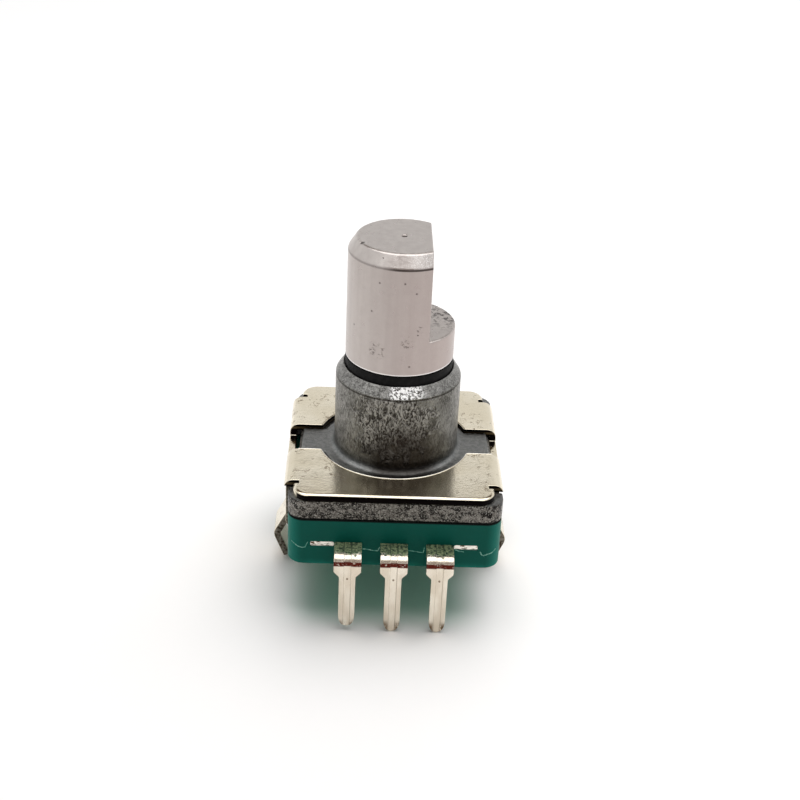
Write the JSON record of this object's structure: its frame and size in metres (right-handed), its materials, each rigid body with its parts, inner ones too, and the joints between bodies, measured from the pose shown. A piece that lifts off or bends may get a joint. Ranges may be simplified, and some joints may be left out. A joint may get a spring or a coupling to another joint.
{
  "type": "rotary encoder",
  "caption": "Board-mounted rotary encoder with a D shaft that turns without stops, a plain round bushing, a snap-in sheet bracket and a row of solder pins.",
  "frame": {"origin": "where the shaft's axis meets the seat of the moulded base on the circuit board", "axes": "+Z along the shaft towards its tip, -Y towards the row of solder pins, +X towards the shaft's D flat"},
  "size_m": [0.0136, 0.014, 0.0204],
  "materials": {
    "plated_sheet": "satin tin plating with fine scratches",
    "zinc_casting": "dark grey as-cast zinc alloy",
    "moulded_base": "moulded thermoset, slightly glossy",
    "tinned_terminal": "bright tin plating",
    "spring_steel": "bright rolled spring steel",
    "seal_rubber": "matt black",
    "shaft_aluminium": "turned, satin",
    "rotor_plastic": "moulded acetal",
    "disc_brass": "bright stamped brass"
  },
  "bodies": {
    "housing": {"bracket": "plated_sheet", "bushing": "zinc_casting", "base": "moulded_base", "terminal_a": "tinned_terminal", "terminal_c": "tinned_terminal", "terminal_b": "tinned_terminal", "tie_bar_left": "tinned_terminal", "tie_bar_right": "tinned_terminal", "detent_spring": "spring_steel", "thrust_washer": "spring_steel", "seal_ring": "seal_rubber"},
    "spindle": {"shaft": "shaft_aluminium", "retaining_ring": "spring_steel", "rotor": "rotor_plastic", "code_disc": "disc_brass"}
  },
  "joints": [
    {"name": "shaft_spin", "type": "hinge", "parent": "housing", "child": "spindle", "pos_m": [0, 0, 0.01], "axis": [0, 0, 1], "continuous": true, "deforming": ["detent_spring"]}
  ]
}
